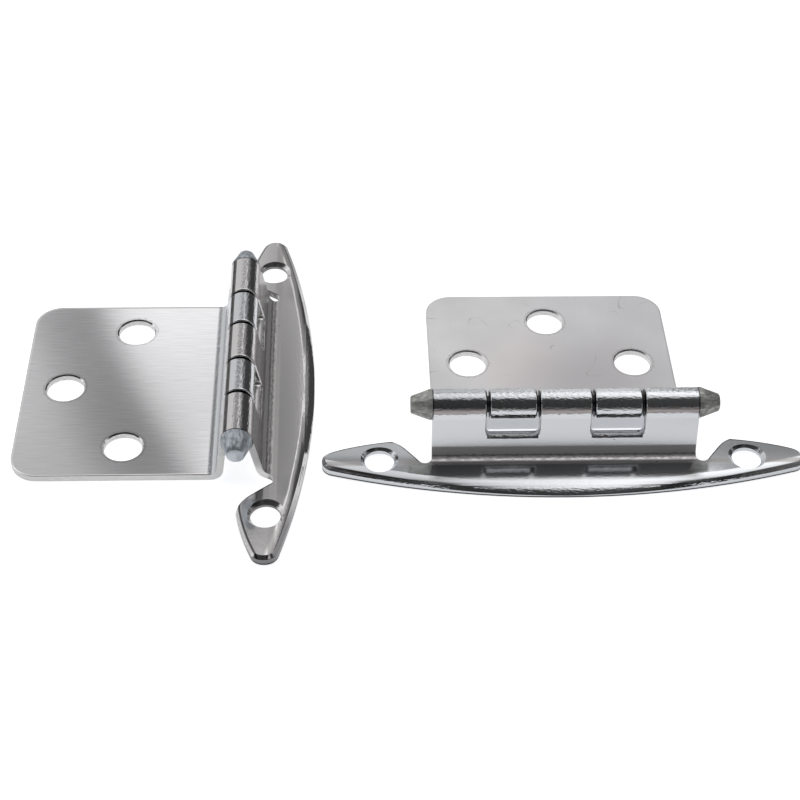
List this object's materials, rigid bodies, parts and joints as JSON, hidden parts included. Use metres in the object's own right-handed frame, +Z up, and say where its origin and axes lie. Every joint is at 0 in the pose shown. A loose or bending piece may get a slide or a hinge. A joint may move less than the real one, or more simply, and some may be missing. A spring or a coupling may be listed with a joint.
{
  "type": "pair of flush hinges",
  "caption": "Pair of flush cabinet hinges: boat-shaped chrome frame leaf with countersunk ears, rolled-knuckle barrel on a cone-headed pin, and flat satin door leaf with screw holes.",
  "frame": {"origin": "on the table, under the middle of the pair as the two hinges lie side by side", "axes": "+X along the right hinge's pin, +Y along the left hinge's pin and towards the right hinge's door leaf, +Z up from the table"},
  "size_m": [0.1148, 0.07, 0.0106],
  "materials": {
    "bright_chrome": "bright chrome plate on pressed steel",
    "satin_plate": "fine brushed plate on pressed steel",
    "dull_zinc": "dull zinc plate on formed steel"
  },
  "bodies": {
    "door_leaves": {"left_door_leaf": "satin_plate", "right_door_leaf": "satin_plate"},
    "left_frame": {"left_frame_leaf": "bright_chrome", "left_hinge_pin": "dull_zinc"},
    "right_frame": {"right_frame_leaf": "bright_chrome", "right_hinge_pin": "dull_zinc"}
  },
  "joints": [
    {"name": "left_hinge", "type": "hinge", "parent": "door_leaves", "child": "left_frame", "pos_m": [-0.02448, 0, 0.00832], "axis": [0, -1, 0], "range_deg": [0, 240]},
    {"name": "right_hinge", "type": "hinge", "parent": "door_leaves", "child": "right_frame", "pos_m": [0.02238, -0.01212, 0.00832], "axis": [-1, 0, 0], "range_deg": [0, 240]}
  ]
}
